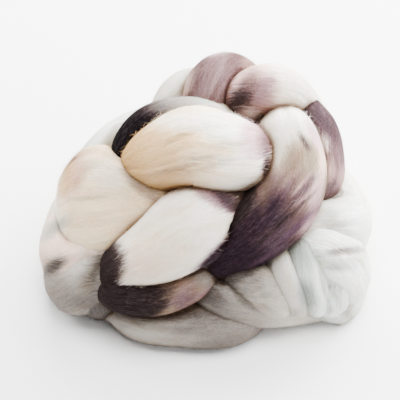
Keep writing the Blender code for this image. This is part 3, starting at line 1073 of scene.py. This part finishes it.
def leg_dye(nodes, leg, lie, place):
    """The density of the dye on one leg, painted shade included: its bands, and the patches over
    them.
    """
    along = nodes.add("ShaderNodeSeparateXYZ", {0: lie}).outputs["Z"]
    wander = nodes.math("SUBTRACT", nodes.lane_noise(lie, WANDER), 0.5)
    broad = nodes.math("SUBTRACT", nodes.lane_noise(lie, BROAD), 0.5)
    shift = nodes.math("ADD", wander, broad)

    wandered = nodes.math("MULTIPLY_ADD", shift, 2 * FEATHER, along)
    share = nodes.math("DIVIDE", wandered, leg.length)
    ramp = nodes.add("ShaderNodeValToRGB", {"Fac": share})
    ramp.color_ramp.interpolation = "EASE"
    bands = BANDS[leg.name]
    elements = ramp.color_ramp.elements
    elements[0].position, elements[0].color = bands[0][0], density(bands[0][1])
    elements[1].position, elements[1].color = bands[-1][0], density(bands[-1][1])
    for position, colour in bands[1:-1]:
        elements.new(position).color = density(colour)
    dye = ramp.outputs["Color"]

    for patch in PATCHES.get(leg.name, ()):
        local = nodes.add(
            "ShaderNodeMapping",
            {
                "Vector": place,
                "Location": (patch.across, patch.up, 0),
                "Rotation": (0, 0, math.radians(patch.turn)),
                "Scale": (patch.long, patch.short, 1e6),
            },
            vector_type="TEXTURE",
        ).outputs[0]
        far = nodes.add("ShaderNodeVectorMath", {0: local}, operation="LENGTH").outputs["Value"]
        wide = math.sqrt(patch.long * patch.short)
        ragged = patch.feather * min(MOST_RAGGED, RAGGED * FEATHER / wide)
        far = nodes.math("MULTIPLY_ADD", shift, ragged, far)
        mask = nodes.soft_step(far, PATCH_EDGE, PATCH_FULL, patch.strength)
        dye = nodes.mix(mask, dye, density(patch.colour))
    return dye


def wool(leg, fibres):
    """Dyed wool for one leg, with painted shade and a painted glint in its colour. Its fibres take
    the same dye, but differ more from one another.
    """
    nodes = Nodes(leg.name + ("_fibre_wool" if fibres else "_wool"))
    lie = nodes.add("ShaderNodeAttribute", attribute_name="lie").outputs["Vector"]
    place = nodes.add("ShaderNodeAttribute", attribute_name="place").outputs["Vector"]
    dye = leg_dye(nodes, leg, lie, place)

    # The wool is never one even tone. Single fibres and locks take more dye or less, and the
    # undyed wool varies a little too.
    single, lock = nodes.lane_noise(lie, SINGLE), nodes.lane_noise(lie, LOCK)
    cloud, fleck = nodes.lane_noise(lie, CLOUD), nodes.lane_noise(place, FLECK)
    taken = nodes.spread(single, 1.1, 0.97) if fibres else nodes.spread(single, 0.45)
    for noise_in_dye, width in ((fleck, 0.60), (lock, 0.40)):
        taken = nodes.math("MULTIPLY", taken, nodes.spread(noise_in_dye, width))
    dye = nodes.scaled(dye, nodes.math("MULTIPLY", taken, -DENSEST))
    parts = nodes.add("ShaderNodeSeparateXYZ", {0: dye})
    left = [nodes.math("EXPONENT", part) for part in parts.outputs]
    colour = nodes.add("ShaderNodeCombineXYZ", dict(enumerate(left))).outputs[0]
    tone = nodes.spread(single, 0.08)
    for noise_in_tone, width in ((lock, 0.09), (cloud, 0.12), (fleck, 0.16)):
        tone = nodes.math("MULTIPLY", tone, nodes.spread(noise_in_tone, width))
    shaded = nodes.scaled(colour, tone)

    aged = nodes.soft_step(nodes.lane_noise(lie, AGE), 0.48, 0.70)
    shaded = nodes.mix(aged, shaded, nodes.mix(1.0, shaded, AGED, "MULTIPLY"))
    mottle = nodes.add(
        "ShaderNodeTexNoise", {"Vector": place, "Scale": MOTTLE_SCALE, "Detail": 2.0}
    )
    uneven = nodes.vector(
        "MULTIPLY_ADD", mottle.outputs["Color"], (MOTTLED,) * 3, (1 - MOTTLED / 2,) * 3
    )
    shaded = nodes.mix(1.0, shaded, uneven, "MULTIPLY")
    # A painted highlight: single fibres glint, and that light is added to the colour.
    painted_glint = nodes.soft_step(nodes.lane_noise(lie, HAIR), 0.48, 0.66)
    shaded = nodes.vector("MULTIPLY_ADD", PAINTED_GLINT, painted_glint, shaded)

    # Painted shade: the colour is darker and browner in crevices, in hollows and near the floor
    # than where the wool is open, and darker in the creases.
    open_at = nodes.add("ShaderNodeAttribute", attribute_name="open").outputs["Vector"]
    reaches = nodes.add("ShaderNodeSeparateXYZ", {0: open_at})
    pale = leg.name in PALE_LEGS
    painted_shades = (PALE_CREVICE_SHADE, PALE_HOLLOW_SHADE) if pale else (PAINTED_CREVICE_SHADE, PAINTED_HOLLOW_SHADE)
    for reach, shade_tint in zip("XY", painted_shades):
        clear = nodes.soft_step(reaches.outputs[reach], 0.05, 0.95)
        shaded = nodes.mix(1.0, shaded, nodes.mix(clear, shade_tint, (1, 1, 1, 1)), "MULTIPLY")
    crease_shading = nodes.mix(reaches.outputs["Z"], (1, 1, 1, 1), PAINTED_CREASE_SHADE)
    shaded = nodes.mix(1.0, shaded, crease_shading, "MULTIPLY")

    shader = nodes.shader
    nodes.put(shader.inputs["Base Color"], shaded)
    nodes.put(shader.inputs["Roughness"], nodes.spread(single, 0.16, 0.88))
    shader.inputs["Specular IOR Level"].default_value = 0.01
    shader.inputs["Sheen Weight"].default_value = 0.008
    shader.inputs["Sheen Roughness"].default_value = 0.6
    if not fibres:
        height = nodes.math("MULTIPLY_ADD", single, 0.5, nodes.lane_noise(lie, RIDGE))
        height = nodes.math("MULTIPLY_ADD", fleck, 0.9, height)
        bump = nodes.add(
            "ShaderNodeBump", {"Height": height, "Strength": 0.6, "Distance": 0.0006}
        )
        nodes.put(shader.inputs["Normal"], bump.outputs["Normal"])
        shader.inputs["Subsurface Weight"].default_value = 0.3
        shader.inputs["Subsurface Radius"].default_value = (1.0, 0.85, 0.7)
        shader.inputs["Subsurface Scale"].default_value = 0.003
    return nodes.material


def floor_material():
    nodes = Nodes("studio_floor")
    place = nodes.add("ShaderNodeTexCoord").outputs["Object"]
    cloud = nodes.add("ShaderNodeTexNoise", {"Vector": place, "Scale": 3.0}).outputs["Fac"]
    colour = nodes.mix(cloud, (0.96, 0.96, 0.96, 1), (0.93, 0.93, 0.93, 1))
    nodes.put(nodes.shader.inputs["Base Color"], colour)
    nodes.shader.inputs["Roughness"].default_value = 0.9
    return nodes.material


def build_roving():
    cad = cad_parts[NODE]
    solid = BVHTree.FromPolygons(
        [vertex.co[:] for vertex in cad.data.vertices],
        [polygon.vertices[:] for polygon in cad.data.polygons],
    )
    random = np.random.default_rng(SEED)
    legs = [Leg(name, rows, number) for number, (name, rows) in enumerate(LEGS.items())]
    legs.append(Leg("heart", heart_rows(), len(legs), FAR_BELOW))
    for leg in legs:
        leg_body(leg, solid, wool(leg, False))
        leg_fibres(leg, solid, wool(leg, True), (LYING, LOOSE), random)


# Soft lamps: name, place and size in metres, and power in watts.
LAMPS = (
    ("back_right", (0.80, 0.80, 0.50), 0.8, 101.0),
    ("back", (0.00, 0.90, 0.80), 0.7, 40.0),
    ("overhead", (0.00, 0.00, 1.20), 0.7, 31.0),
    ("right", (0.90, 0.00, 0.80), 0.6, 18.0),
    ("front_right", (0.55, -0.75, 0.80), 0.6, 6.0),
    ("left", (-0.90, 0.45, 0.65), 0.6, 20.0),
)
LAMPS_AIM = (0, 0, 0.05)
WORLD_STRENGTH = 0.10
FLOOR_SIZE = 6
SENSOR_WIDTH, LENS = 36.0, 150.0


def build_studio():
    bpy.ops.mesh.primitive_plane_add(size=FLOOR_SIZE)
    floor = bpy.context.object
    floor.name = "studio_floor"
    floor.data.materials.append(floor_material())

    world = bpy.data.worlds.new("studio")
    bpy.context.scene.world = world
    world.use_nodes = True
    background = world.node_tree.nodes["Background"]
    background.inputs["Color"].default_value = (1.0, 1.0, 1.0, 1.0)
    background.inputs["Strength"].default_value = WORLD_STRENGTH

    for name, place, size, power in LAMPS:
        light = bpy.data.lights.new(name, "AREA")
        light.size, light.energy = size, power
        lamp = bpy.data.objects.new(name, light)
        lamp.location = place
        aim = Vector(LAMPS_AIM) - Vector(place)
        lamp.rotation_euler = aim.to_track_quat("-Z", "Y").to_euler()
        bpy.context.scene.collection.objects.link(lamp)

    camera = bpy.data.cameras.new("camera")
    camera.sensor_width, camera.lens = SENSOR_WIDTH, LENS
    eye = bpy.data.objects.new("camera", camera)
    target = Vector((MIDDLE - ORIGIN) * MM)
    eye.location = target + Vector(NEAR) * VIEW_DISTANCE * MM
    eye.rotation_euler = Vector(NEAR).to_track_quat("Z", "Y").to_euler()
    bpy.context.scene.collection.objects.link(eye)
    bpy.context.scene.camera = eye


build_studio()
build_roving()
bpy.context.view_layer.update()
